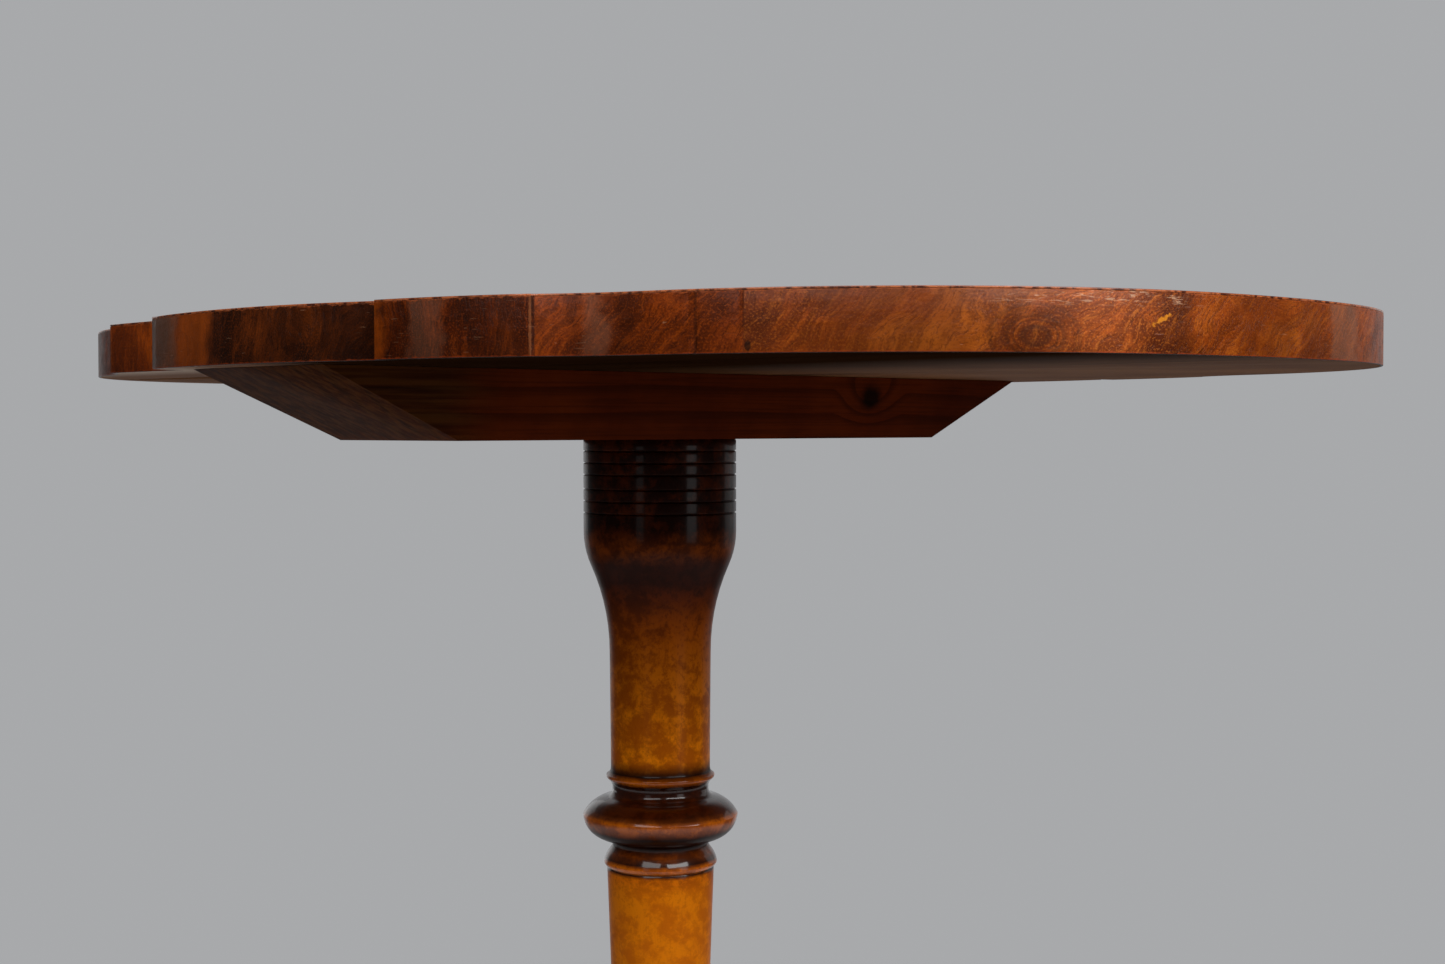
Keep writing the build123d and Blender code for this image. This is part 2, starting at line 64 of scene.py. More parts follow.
# ---- levels and places read from the frame, metres ----
TOP_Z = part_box("face_veneer_1")[1].z
CORE_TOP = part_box("face_veneer_1")[0].z
UNDER_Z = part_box("top_plank_3")[0].z
BLOCK_LOW, BLOCK_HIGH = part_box("bearer_block")
COLUMN_LOW, COLUMN_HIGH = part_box("column")
COLUMN_X = (COLUMN_LOW.x + COLUMN_HIGH.x) / 2
LOBE_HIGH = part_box("edge_right_lobe")[1]
TAB_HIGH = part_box("edge_right_tab_front")[1]
TAB_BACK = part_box("edge_right_tab_back")
NOTCH_DEPTH = 13 * MM
NOTCH_FRONT = (LOBE_HIGH.x, TAB_HIGH.y - NOTCH_DEPTH)
NOTCH_BACK = (-TAB_BACK[1].x, TAB_BACK[1].y)
NOTCH_CORNER = (LOBE_HIGH.x, TAB_HIGH.y)
TAB_CORNER = (TAB_HIGH.x, TAB_HIGH.y - 22.5 * MM)


def srgb(red, green, blue):
    """A colour given as 0 to 255 display values, as linear RGBA."""
    def linear(value):
        value /= 255
        return value / 12.92 if value <= 0.04045 else ((value + 0.055) / 1.055) ** 2.4
    return (linear(red), linear(green), linear(blue), 1.0)


# ---- a small language for node materials ----
class Graph:
    """Builds one material. Every method returns an output socket, and takes sockets or plain values."""

    def __init__(self, name):
        self.material = bpy.data.materials.new(name)
        self.material.use_nodes = True
        self.tree = self.material.node_tree
        self.shader = self.tree.nodes["Principled BSDF"]
        self.place = self.node("ShaderNodeTexCoord").outputs["Object"]
        split = self.node("ShaderNodeSeparateXYZ", {0: self.place})
        self.x, self.y, self.z = split.outputs

    @classmethod
    def of_world(cls, world):
        graph = cls.__new__(cls)
        graph.tree = world.node_tree
        graph.place = graph.node("ShaderNodeTexCoord").outputs["Generated"]
        return graph

    def node(self, kind, inputs=None, **settings):
        made = self.tree.nodes.new(kind)
        for key, value in settings.items():
            setattr(made, key, value)
        for key, value in (inputs or {}).items():
            self.put(made.inputs[key], value)
        return made

    def put(self, socket, value):
        if isinstance(value, bpy.types.NodeSocket):
            self.tree.links.new(value, socket)
        elif socket.type == "RGBA" and isinstance(value, (tuple, list)):
            socket.default_value = tuple(value)[:4]
        else:
            socket.default_value = value

    def math(self, operation, a, b=0.0):
        return self.node("ShaderNodeMath", {0: a, 1: b}, operation=operation).outputs[0]

    def add(self, a, b):
        return self.math("ADD", a, b)

    def sub(self, a, b):
        return self.math("SUBTRACT", a, b)

    def mul(self, a, b):
        return self.math("MULTIPLY", a, b)

    def vector(self, x, y, z):
        return self.node("ShaderNodeCombineXYZ", {0: x, 1: y, 2: z}).outputs[0]

    def stretch(self, vector, factors):
        return self.node("ShaderNodeVectorMath", {0: vector, 1: factors}, operation="MULTIPLY").outputs[0]

    def shift(self, vector, offset):
        return self.node("ShaderNodeVectorMath", {0: vector, 1: offset}, operation="ADD").outputs[0]

    def noise(self, vector, scale, detail=3.0, roughness=0.55, distortion=0.0):
        inputs = {"Vector": vector, "Scale": scale, "Detail": detail, "Roughness": roughness,
                  "Distortion": distortion}
        return self.node("ShaderNodeTexNoise", inputs).outputs[0]

    def ramp(self, factor, stops):
        """stops is a list of (position, colour or grey level), at most 32 of them."""
        made = self.node("ShaderNodeValToRGB", {0: factor})
        elements = made.color_ramp.elements
        while len(elements) < len(stops):
            elements.new(0.5)
        for element, (position, colour) in zip(elements, stops):
            element.position = position
            element.color = colour if isinstance(colour, tuple) else (colour, colour, colour, 1.0)
        return made.outputs[0]

    def mix(self, factor, a, b, blend="MIX"):
        made = self.node("ShaderNodeMix", data_type="RGBA", blend_type=blend, clamp_factor=True)
        for index, value in ((0, factor), (6, a), (7, b)):
            self.put(made.inputs[index], value)
        return made.outputs[2]

    def between(self, value, low, high):
        """A smooth step: 0 below low and 1 above high (or the other way round when low is larger)."""
        inputs = {0: value, 1: min(low, high), 2: max(low, high)}
        inputs[3], inputs[4] = (0.0, 1.0) if low < high else (1.0, 0.0)
        return self.node("ShaderNodeMapRange", inputs, interpolation_type="SMOOTHSTEP").outputs[0]

    def distance(self, vector, point):
        made = self.node("ShaderNodeVectorMath", {0: vector, 1: point}, operation="DISTANCE")
        return made.outputs["Value"]

    def distance_scaled(self, vector, point, factors):
        """Distance from point with each axis counted factors times over."""
        scaled = tuple(value * factor for value, factor in zip(point, factors))
        return self.distance(self.stretch(vector, factors), scaled)

    def bump(self, height, depth):
        return self.node("ShaderNodeBump", {"Height": height, "Distance": depth, "Strength": 1.0}).outputs[0]

    def finish(self, colour, roughness, normal=None, **fixed):
        self.put(self.shader.inputs["Base Color"], colour)
        self.put(self.shader.inputs["Roughness"], roughness)
        if normal is not None:
            self.put(self.shader.inputs["Normal"], normal)
        for name, value in fixed.items():
            self.shader.inputs[name.replace("_", " ")].default_value = value
        return self.material


# ---- materials ----
WORN = srgb(184, 108, 62)
# Near-black for dirt, pores and joints, and for painted shade at the notches, along the foot and by the
# block.
GRIME_AND_SHADE = srgb(20, 8, 3)
# PAINTED_SHEEN is a painted grey reflection and SHADE a painted shade; GLOW is an orange tone of the wood.
PAINTED_SHEEN, GLOW, SHADE = srgb(152, 106, 82), srgb(186, 84, 14), srgb(34, 11, 3)
EDGE_RADIUS = 0.33        # metres of edge for one radian round the top, about

# Broad patches along the edge: axis, start and end in metres, colour, strength.
# PAINTED_SHEEN patches are painted reflections and SHADE patches painted shade; GLOW and the browns are wood
# tone.
PATCHES = {
    "edge_front_1": (("x", 0.187, 0.194, SHADE, 0.35), ("x", 0.197, 0.204, PAINTED_SHEEN, 0.28),
                     ("x", 0.208, 0.214, SHADE, 0.50)),
    "edge_left_tab_front": (("x", 0.092, 0.102, GLOW, 0.45), ("x", 0.104, 0.114, SHADE, 0.40),
                            ("x", 0.119, 0.136, PAINTED_SHEEN, 0.20), ("x", 0.146, 0.171, SHADE, 0.35)),
    "edge_left_lobe": (("x", -0.092, -0.058, PAINTED_SHEEN, 0.30), ("x", -0.056, -0.022, GLOW, 0.40),
                       ("x", 0.022, 0.052, SHADE, 0.45), ("x", 0.062, 0.090, SHADE, 0.60)),
    "edge_front_3": (("y", -0.205, -0.165, srgb(104, 44, 7), 0.50), ("y", -0.082, -0.072, SHADE, 0.35),
                     ("y", -0.045, -0.004, srgb(104, 42, 4), 0.45)),
    "edge_front_4": (("y", 0.003, 0.022, srgb(104, 42, 4), 0.45), ("y", 0.030, 0.062, PAINTED_SHEEN, 0.35)),
}


def edge_coordinates(g):
    """Distance round the edge and height, in metres, so that figure can run round the curved band."""
    turn = g.math("ARCTAN2", g.y, g.x)
    return g.vector(g.mul(turn, EDGE_RADIUS), g.z, 0.0)


def figured_veneer(g, flat, pale, mid, dark, seed, lean=0.5):
    """Flame figure in the plane of flat: broad tone, leaning curly bands and fine pores.

    Returns the colour and the height of the grain.
    """
    moved = g.shift(flat, (seed * 1.37, seed * 0.61, seed * 2.3))
    turned = g.node("ShaderNodeVectorRotate", {"Vector": moved, "Axis": (0, 0, 1), "Angle": lean},
                    rotation_type="AXIS_ANGLE").outputs[0]
    sway = g.noise(moved, 14.0, 2.0, 0.5)
    ruffle = g.noise(moved, 60.0, 2.0, 0.5)
    sideways = g.add(g.mul(sway, 0.055), g.mul(ruffle, 0.007))
    swayed = g.shift(turned, g.vector(sideways, g.mul(sway, 0.02), 0.0))
    broad = g.noise(g.stretch(swayed, (17.0, 9.0, 1.0)), 1.0, 2.0, 0.5)
    tone = g.add(g.mul(g.noise(moved, 30.0, 6.0, 0.66, 0.5), 0.5), g.mul(broad, 0.5))
    bands = g.noise(g.stretch(swayed, (120.0, 20.0, 1.0)), 1.0, 3.0, 0.55, 0.2)
    curl = g.noise(g.stretch(swayed, (420.0, 60.0, 1.0)), 1.0, 4.0, 0.7, 0.2)
    pores = g.noise(g.stretch(swayed, (950.0, 170.0, 1.0)), 1.0, 3.0, 0.7, 0.3)
    grit = g.noise(moved, 1100.0, 2.0, 0.6)
    colour = g.ramp(tone, [(0.36, dark), (0.50, mid), (0.63, pale)])
    shadow = g.mix(0.62, colour, dark)
    colour = g.mix(g.mul(g.between(bands, 0.52, 0.44), 0.85), colour, shadow)
    colour = g.mix(g.mul(g.between(curl, 0.50, 0.36), 0.60), colour, shadow)
    colour = g.mix(g.mul(g.between(curl, 0.52, 0.66), 0.40), colour, pale)
    pore_mask = g.between(pores, 0.49, 0.38)
    colour = g.mix(g.mul(pore_mask, 0.75), colour, shadow)
    colour = g.mix(g.mul(g.between(pores, 0.38, 0.30), 0.5), colour, GRIME_AND_SHADE)
    colour = g.mix(g.mul(g.between(grit, 0.52, 0.66), 0.35), colour, pale)
    colour = g.mix(g.mul(g.between(grit, 0.48, 0.36), 0.35), colour, dark)
    height = g.add(g.mul(curl, 0.6), g.mul(pore_mask, -0.8))
    return colour, height


def edge_veneer(name, node, seed, tones, lean):
    """Crossbanding round the edge, with worn arrises, dirt and painted shade at the notches, scratches and
    shellac.

    The top arris is partly a painted highlight; painted sheen, painted shade patches and a painted shade
    line along the foot are laid into the colour.
    """
    g = Graph(name)
    flat = edge_coordinates(g)
    colour, height = figured_veneer(g, flat, *tones, seed, lean)
    fray = g.noise(flat, 420.0, 3.0, 0.6)
    side = g.vector(g.math("ABSOLUTE", g.x), g.math("ABSOLUTE", g.y), 0.0)
    front = g.between(g.x, -0.01, 0.01)

    # Darker towards the notches: partly dirt, partly painted shade in the recess.
    for (x, y), part in ((NOTCH_FRONT, front), (NOTCH_BACK, g.sub(1.0, front))):
        reach = g.add(g.distance(side, (x, y, 0.0)), g.mul(fray, 5 * MM))
        colour = g.mix(g.mul(g.mul(g.between(reach, 24 * MM, 3 * MM), part), 0.85), colour, GRIME_AND_SHADE)
    near = g.add(g.distance(side, (*TAB_CORNER, 0.0)), g.mul(fray, 1.2 * MM))
    colour = g.mix(g.mul(g.between(near, 1.5 * MM, 0.8 * MM), 0.6), colour, WORN)
    # Painted shadow in the narrow gap at the notch corner.
    notch_corner_shadow = g.between(g.distance(side, (*NOTCH_CORNER, 0.0)), 2.4 * MM, 1.2 * MM)
    colour = g.mix(g.mul(notch_corner_shadow, 0.8), colour, GRIME_AND_SHADE)
    blurred = g.noise(flat, 60.0, 3.0, 0.6)
    # Painted sheen, painted shade and tone patches from PATCHES.
    for axis, start, end, tint, strength in PATCHES.get(node, ()):
        where = g.add(getattr(g, axis), g.mul(g.sub(blurred, 0.5), 0.022))
        inside = g.mul(g.between(where, start - 4 * MM, start + 4 * MM),
                       g.between(where, end + 4 * MM, end - 4 * MM))
        colour = g.mix(g.mul(inside, strength), colour, tint)

    low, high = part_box(node)
    across = g.x if "lobe" in node or "tab" in node else g.y
    ends = (low.x, high.x) if across is g.x else (low.y, high.y)
    seam_dirt = 0.12 if node in ("edge_front_3", "edge_front_4") else 0.42
    for end in ends:
        seam = g.between(g.math("ABSOLUTE", g.sub(across, end)), 0.32 * MM, 0.18 * MM)
        colour = g.mix(g.mul(seam, seam_dirt), colour, GRIME_AND_SHADE)

    chips = g.noise(g.stretch(flat, (260.0, 120.0, 1.0)), 1.0, 3.0, 0.6)
    # Lighter top arris: wear, and partly a painted highlight of the light from above.
    top_arris_wear_and_highlight = g.between(g.add(g.z, g.mul(g.sub(chips, 0.5), 3.5 * MM)),
                         CORE_TOP - 0.5 * MM, CORE_TOP + 0.1 * MM)
    foot_wear = g.between(g.sub(g.z, g.mul(g.sub(chips, 0.5), 2.5 * MM)),
                          UNDER_Z + 0.9 * MM, UNDER_Z + 0.3 * MM)
    colour = g.mix(g.mul(top_arris_wear_and_highlight, 0.55), colour, srgb(170, 84, 40))
    colour = g.mix(g.mul(foot_wear, 0.65), colour, srgb(160, 62, 20))
    # Painted shade line along the foot of the edge, where it meets the underside.
    foot_shade_line = g.between(g.z, UNDER_Z + 0.35 * MM, UNDER_Z + 0.1 * MM)
    colour = g.mix(foot_shade_line, colour, GRIME_AND_SHADE)

    scratch = g.noise(g.stretch(flat, (70.0, 1300.0, 1.0)), 1.0, 2.0, 0.5, 0.4)
    nicks = g.noise(g.stretch(flat, (160.0, 420.0, 1.0)), 1.0, 2.0, 0.5)
    sparse = g.noise(flat, 45.0, 2.0)
    marks = g.math("MAXIMUM", g.mul(g.between(scratch, 0.69, 0.73), g.between(sparse, 0.50, 0.60)),
                   g.between(nicks, 0.745, 0.775))
    colour = g.mix(g.mul(marks, 0.35), colour, srgb(200, 140, 100))
    if node == "edge_front_3":
        colour = sweep_marks(g, colour, flat)
    ripple = g.noise(g.stretch(flat, (60.0, 170.0, 1.0)), 1.0, 2.0)
    relief = g.add(g.mul(height, 0.5), g.add(g.mul(ripple, 2.2), g.mul(marks, -0.6)))
    rough = g.add(0.30, g.mul(g.noise(flat, 150.0, 3.0), 0.25))
    matt = g.between(g.distance(side, (*NOTCH_BACK, 0.0)), 30 * MM, 6 * MM)
    g.put(g.shader.inputs["Coat Weight"], g.mul(g.sub(1.0, matt), 0.13))
    g.put(g.shader.inputs["Specular IOR Level"], g.mul(g.sub(1.0, matt), 0.15))
    return g.finish(colour, rough, g.bump(relief, 0.22 * MM), Coat_Roughness=0.22)


# SHEEN_SPOT_AT and SHEEN_SPOT_GAIN place and tint a painted sheen spot.
WHORL_AT, BRUISE_AT, SHEEN_SPOT_AT = (0.348, -0.142, 0.7205), (0.2647, -0.2185, 0.7169), (0.360, -0.112, 0.726)
SHEEN_SPOT_GAIN = (1.7, 1.9, 3.0, 1.0)


def sweep_marks(g, colour, flat):
    """On the long sweep: a whorl, a bruise, a painted sheen spot, a filled yellow chip and crackled veneer
    with painted glints.
    """
    whorl = g.distance_scaled(g.place, WHORL_AT, (1.0, 1.0, 1.5))
    rings = g.noise(g.vector(g.mul(whorl, 300.0), 0.0, 0.0), 1.0, 3.0)
    swirl = g.mul(g.between(whorl, 34 * MM, 8 * MM), g.between(rings, 0.35, 0.6))
    colour = g.mix(g.mul(swirl, 0.65), colour, srgb(62, 28, 10))
    bruise = g.add(g.distance_scaled(g.place, BRUISE_AT, (1.0, 1.0, 0.6)),
                   g.mul(g.noise(flat, 500.0, 2.0), 1.5 * MM))
    colour = g.mix(g.mul(g.between(bruise, 2.4 * MM, 1.6 * MM), 0.8), colour, GRIME_AND_SHADE)
    # Painted sheen: a lighter, greyer spot multiplied over the figure.
    painted_sheen_spot = g.between(g.distance_scaled(g.place, SHEEN_SPOT_AT, (1.0, 1.0, 1.6)), 50 * MM, 10 * MM)
    colour = g.mix(g.mul(painted_sheen_spot, 0.90), colour, SHEEN_SPOT_GAIN, "MULTIPLY")
    slanted = g.vector(0.0, g.y, g.sub(g.z, g.mul(g.y, 0.45)))
    chip = g.add(g.distance_scaled(slanted, (0.0, -0.0888, 0.76756), (1.0, 0.55, 1.9)),
                 g.mul(g.noise(g.place, 420.0, 3.0, 0.7), 9 * MM))
    colour = g.mix(g.mul(g.between(chip, 7.2 * MM, 5.6 * MM), 0.85), colour, srgb(228, 140, 30))
    # Painted highlight glints where the crackled veneer near the top ripples.
    along = g.mul(g.between(g.y, -0.165, -0.140), g.between(g.y, -0.060, -0.080))
    upper = g.between(g.z, CORE_TOP - 7.5 * MM, CORE_TOP - 3.0 * MM)
    crackle = g.noise(g.stretch(flat, (150.0, 950.0, 1.0)), 1.0, 3.0, 0.6, 0.8)
    crackle_glints = g.mul(g.mul(along, upper), g.between(crackle, 0.55, 0.64))
    return g.mix(g.mul(crackle_glints, 0.5), colour, srgb(222, 176, 140))


def face_veneer(name):
    """Four quartered leaves of flame mahogany on the top, mirrored across both centre lines."""
    g = Graph(name)
    mirrored = g.vector(g.math("ABSOLUTE", g.x), g.math("ABSOLUTE", g.y), 0.0)
    swirl = g.noise(mirrored, 5.0, 3.0, 0.5, 0.6)
    fan = g.math("ARCTAN2", g.add(g.math("ABSOLUTE", g.y), 0.05), g.add(g.math("ABSOLUTE", g.x), 0.02))
    radius = g.distance(mirrored, (-0.10, -0.14, 0.0))
    flame = g.vector(g.add(radius, g.mul(swirl, 0.12)), g.mul(fan, 0.22), 0.0)
    tones = (srgb(172, 92, 44), srgb(136, 60, 24), srgb(76, 28, 10))
    colour, height = figured_veneer(g, flame, *tones, 3.0, 0.15)
    side = g.between(g.z, TOP_Z - 0.12 * MM, TOP_Z - 0.3 * MM)
    fray = g.noise(g.place, 260.0, 3.0, 0.6)
    colour = g.mix(side, colour, g.ramp(fray, [(0.40, srgb(84, 34, 16)), (0.56, srgb(198, 108, 60))]))
    to_centre_line = g.math("MINIMUM", g.math("ABSOLUTE", g.x), g.math("ABSOLUTE", g.y))
    centre_joint = g.between(to_centre_line, 0.35 * MM, 0.1 * MM)
    colour = g.mix(g.mul(centre_joint, 0.8), colour, GRIME_AND_SHADE)
    wear = g.noise(g.place, 9.0, 5.0, 0.7)
    colour = g.mix(g.mul(g.between(wear, 0.55, 0.72), 0.22), colour, srgb(190, 120, 70))
    rough = g.add(0.20, g.mul(wear, 0.25))
    return g.finish(colour, rough, g.bump(height, 0.05 * MM), Specular_IOR_Level=0.4, Coat_Weight=0.5,
                    Coat_Roughness=0.14)


def softwood(name, along, pith, light, dark, late, sheen, knot=None, dirt_and_shade=0.0, rings=260.0):
    """Sawn softwood: growth rings round a pith line that runs along one axis, and a fine fibre.

    rings is rings per metre. dirt_and_shade is how strongly the near side of the underside by the block is
    darkened with dirt and painted shade; it also turns on a painted pale reflection on the far left end.
    Wood that runs along y has an aged, streaked end on its -Y side.
    """
    g = Graph(name)
    slow = g.stretch(g.place, tuple(1.2 if axis == along else 9.0 for axis in "xyz"))
    wander = g.noise(slow, 1.0, 3.0, 0.5)
    across = [getattr(g, axis) for axis in "xyz" if axis != along]
    offsets = [g.sub(value, centre) for value, centre in zip(across, pith)]
    squared = g.add(g.mul(offsets[0], offsets[0]), g.mul(offsets[1], offsets[1]))
    depth = g.add(g.math("SQRT", squared), g.mul(wander, 0.030))
    if knot:
        place, size = knot
        push = g.between(g.distance_scaled(g.place, place, (1.0, 0.62, 1.0)), size * 3.2, size * 0.2)
        depth = g.add(depth, g.mul(push, 0.016))
    ring = g.math("FRACT", g.mul(depth, rings))
    late_wood = g.mul(g.between(ring, 0.45, 0.92), g.between(ring, 1.0, 0.94))
    fibre_scale = tuple(14.0 if axis == along else 900.0 for axis in "xyz")
    fibre = g.noise(g.stretch(g.place, fibre_scale), 1.0, 3.0, 0.6)
    blotch = g.noise(g.place, 11.0, 4.0, 0.6)
    colour = g.ramp(blotch, [(0.32, dark), (0.68, light)])
    colour = g.mix(g.mul(late_wood, 0.55), colour, late)
    colour = g.mix(g.mul(g.between(fibre, 0.55, 0.35), 0.35), colour, late)
    if along == "y":
        streak = g.noise(g.stretch(g.place, (260.0, 9.0, 260.0)), 1.0, 3.0, 0.6)
        aged = g.ramp(streak, [(0.42, srgb(36, 18, 4)), (0.60, srgb(76, 44, 14))])
        colour = g.mix(g.mul(g.between(g.y, -0.15, -0.20), 0.75), colour, aged)
    if knot:
        reach = g.distance_scaled(g.place, place, (1.0, 0.8, 1.0))
        frayed = g.add(reach, g.mul(g.noise(g.place, 160.0, 3.0), size * 0.5))
        colour = g.mix(g.mul(g.between(frayed, size * 1.7, size * 0.75), 0.9), colour, srgb(9, 4, 2))
    gloss = 0.03
    if dirt_and_shade:
        # Darker on the near side of the underside by the block: dirt, and painted shade under the top.
        near_dirt_and_shade = g.mul(g.between(g.y, 0.10, -0.12), g.between(g.x, -0.02, 0.05))
        colour = g.mix(g.mul(near_dirt_and_shade, dirt_and_shade), colour, GRIME_AND_SHADE)
        gloss = g.mul(g.sub(1.0, near_dirt_and_shade), 0.07)
        # Painted pale reflection of the backdrop on the far left end of the underside.
        far_left_reflection = g.mul(g.between(g.y, -0.20, -0.27), g.between(g.x, -0.03, -0.12))
        colour = g.mix(g.mul(far_left_reflection, 0.7), colour, srgb(206, 186, 168))
    g.put(g.shader.inputs["Specular IOR Level"], gloss)
    relief = g.add(g.mul(late_wood, 0.5), g.mul(fibre, 0.6))
    rough = g.add(sheen, g.mul(fibre, 0.18))
    return g.finish(colour, rough, g.bump(relief, 0.10 * MM))


def turned_birch(name, stain, polish=None):
    """Mottled flame birch under brown shellac.

    stain is a list of (height in metres, colour, colour in the mottle), and polish a list of
    (height in metres, coat weight). On the column these colours are stain with some painted shade.
    """
    g = Graph(name)
    low, high = stain[0][0], stain[-1][0]
    around = g.shift(g.place, (-COLUMN_X, 0.0, 0.0))
    level = g.add(g.z, g.mul(g.sub(g.noise(around, 55.0, 3.0), 0.5), 1.2 * MM))
    factor = g.math("DIVIDE", g.sub(level, low), high - low)
    base = g.ramp(factor, [((z - low) / (high - low), colour) for z, colour, _ in stain])
    shade = g.ramp(factor, [((z - low) / (high - low), colour) for z, _, colour in stain])
    mottle = g.noise(g.stretch(around, (95.0, 95.0, 110.0)), 1.0, 5.0, 0.7, 0.2)
    cloud = g.noise(g.stretch(around, (22.0, 22.0, 15.0)), 1.0, 3.0, 0.5)
    speckle = g.noise(g.stretch(around, (420.0, 420.0, 300.0)), 1.0, 3.0, 0.6)
    fleck = g.noise(g.stretch(around, (1500.0, 1500.0, 110.0)), 1.0, 2.0, 0.6)
    patch = g.add(g.mul(mottle, 0.62), g.mul(cloud, 0.38))
    colour = g.mix(g.mul(g.between(patch, 0.57, 0.43), 0.85), base, shade)
    colour = g.mix(g.mul(g.between(speckle, 0.48, 0.34), 0.55), colour, shade)
    colour = g.mix(g.mul(g.between(fleck, 0.44, 0.30), 0.30), colour, shade)
    rough = g.add(0.30, g.mul(g.noise(g.place, 90.0, 3.0), 0.14))
    relief = g.add(g.mul(fleck, 0.4), g.mul(mottle, 0.8))
    if polish:
        bottom, top = polish[0][0], polish[-1][0]
        height = g.math("DIVIDE", g.sub(g.z, bottom), top - bottom)
        coat = g.ramp(height, [((z - bottom) / (top - bottom), weight) for z, weight in polish])
        g.put(g.shader.inputs["Coat Weight"], coat)
    return g.finish(colour, rough, g.bump(relief, 0.04 * MM), Specular_IOR_Level=0.08, Coat_Roughness=0.11)


def metal(name, colour, tarnish, roughness, metallic):
    """Old metal: clean and tarnished patches, with a finely pitted surface."""
    g = Graph(name)
    patina = g.noise(g.place, 120.0, 5.0, 0.65)
    fine = g.noise(g.place, 2100.0, 2.0)
    shown = g.mix(g.between(patina, 0.42, 0.64), tarnish, colour)
    rough = g.add(roughness, g.mul(patina, 0.25))
    return g.finish(shown, rough, g.bump(g.add(patina, g.mul(fine, 0.3)), 0.05 * MM), Metallic=metallic)


def column_stain_and_shade():
    """The column's colours by height, from the hub up to the capital: stain, with some painted shade."""
    amber, amber_dark = srgb(236, 132, 0), srgb(168, 78, 0)
    honey, honey_dark = srgb(214, 108, 2), srgb(150, 66, 1)
    brown, brown_dark = srgb(140, 62, 3), srgb(84, 32, 1)
    deep, deep_dark = srgb(74, 26, 1), srgb(46, 13, 0)
    black, black_dark = srgb(34, 7, 0), srgb(20, 3, 0)
    cove, cove_dark = srgb(66, 20, 0), srgb(46, 12, 0)
    bright, bright_dark = srgb(226, 124, 0), srgb(192, 94, 0)
    # Painted shade: the darkening of the amber from drop 0.24 up to the capital, and the blacks under the big
    # ring.
    drops = [
        (0.6400, deep, deep_dark), (0.5250, brown, brown_dark), (0.4700, amber, amber_dark),
        (0.4400, deep, deep_dark), (0.4240, deep, deep_dark), (0.4080, bright, bright_dark),
        (0.3180, bright, bright_dark), (0.3090, honey, honey_dark), (0.3084, black, black_dark),
        (0.3068, black, black_dark), (0.3060, honey, honey_dark), (0.3034, honey, honey_dark),
        (0.3026, black, black_dark), (0.2966, brown, brown_dark), (0.2945, black, black_dark),
        (0.2852, black, black_dark), (0.2824, brown, brown_dark), (0.2768, honey, honey_dark),
        (0.2745, deep, deep_dark), (0.2640, deep, deep_dark), (0.2576, black, black_dark),
        (0.2570, honey, honey_dark), (0.2546, honey, honey_dark), (0.2538, black, black_dark),
        (0.2512, black, black_dark), (0.2440, amber, amber_dark),
        (0.1700, srgb(164, 76, 2), srgb(104, 42, 1)), (0.1530, srgb(112, 44, 2), srgb(68, 23, 1)),
        (0.1430, cove, cove_dark), (0.1330, cove, cove_dark), (0.1230, brown, deep),
        (0.1120, deep, black_dark),
    ]
    return [(TOP_Z - drop, colour, mottle) for drop, colour, mottle in drops]


def polish_profile():
    """How much shellac gloss is left at each height of the column: most on the rings, little on the shaft."""
    drops = [(0.6400, 0.10), (0.3100, 0.05), (0.3080, 1.0), (0.2965, 1.0), (0.2945, 0.2), (0.2840, 0.2),
             (0.2800, 1.0), (0.2545, 1.0), (0.2520, 0.06), (0.1500, 0.0), (0.1300, 0.05), (0.1080, 0.28),
             (0.0600, 0.34)]
    return [(TOP_Z - drop, weight) for drop, weight in drops]


# ---- pieces ----
def rebuilt(node, material, arris=0.0, segments=2, level_only=False):
    """A finished mesh for a CAD node: welded, without slivers, and with softened arrises.

    arris is the width of the softening in metres.

    level_only softens just the arrises that lie level, so that strips still meet flush end to end.
    """
    source = frame["nodes"][node]
    body = source["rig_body"]
    mesh = source.data.copy()
    mesh.name = node + "_finished"
    piece = bpy.data.objects.new(node + "_finished", mesh)
    bpy.context.scene.collection.objects.link(piece)
    work = bmesh.new()
    work.from_mesh(mesh)
    bmesh.ops.remove_doubles(work, verts=work.verts, dist=2e-6)
    bmesh.ops.dissolve_limit(work, angle_limit=math.radians(0.3), verts=work.verts, edges=work.edges,
                             delimit=set())
    weights = work.edges.layers.float.new("bevel_weight_edge")
    for edge in work.edges:
        if len(edge.link_faces) == 2 and edge.calc_face_angle(0.0) > math.radians(32):
            level = abs(edge.verts[0].co.z - edge.verts[1].co.z) < 1e-5
            edge[weights] = 1.0 if level or not level_only else 0.0
    work.to_mesh(mesh)
    work.free()
    mesh.materials.clear()
    mesh.materials.append(material)
    for polygon in mesh.polygons:
        polygon.use_smooth = True
        polygon.material_index = 0
    if arris:
        bevel = piece.modifiers.new("arris", "BEVEL")
        bevel.width = arris
        bevel.segments = segments
        bevel.limit_method = "WEIGHT"
        bevel.use_clamp_overlap = True
    settle(piece)
    piece.data.set_sharp_from_angle(angle=math.radians(38))
    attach(piece, body)
    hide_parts(node)
    return piece


def settle(piece):
    """Applies the piece's modifiers to its mesh."""
    graph = bpy.context.evaluated_depsgraph_get()
    finished = bpy.data.meshes.new_from_object(piece.evaluated_get(graph))
    piece.modifiers.clear()
    piece.data = finished


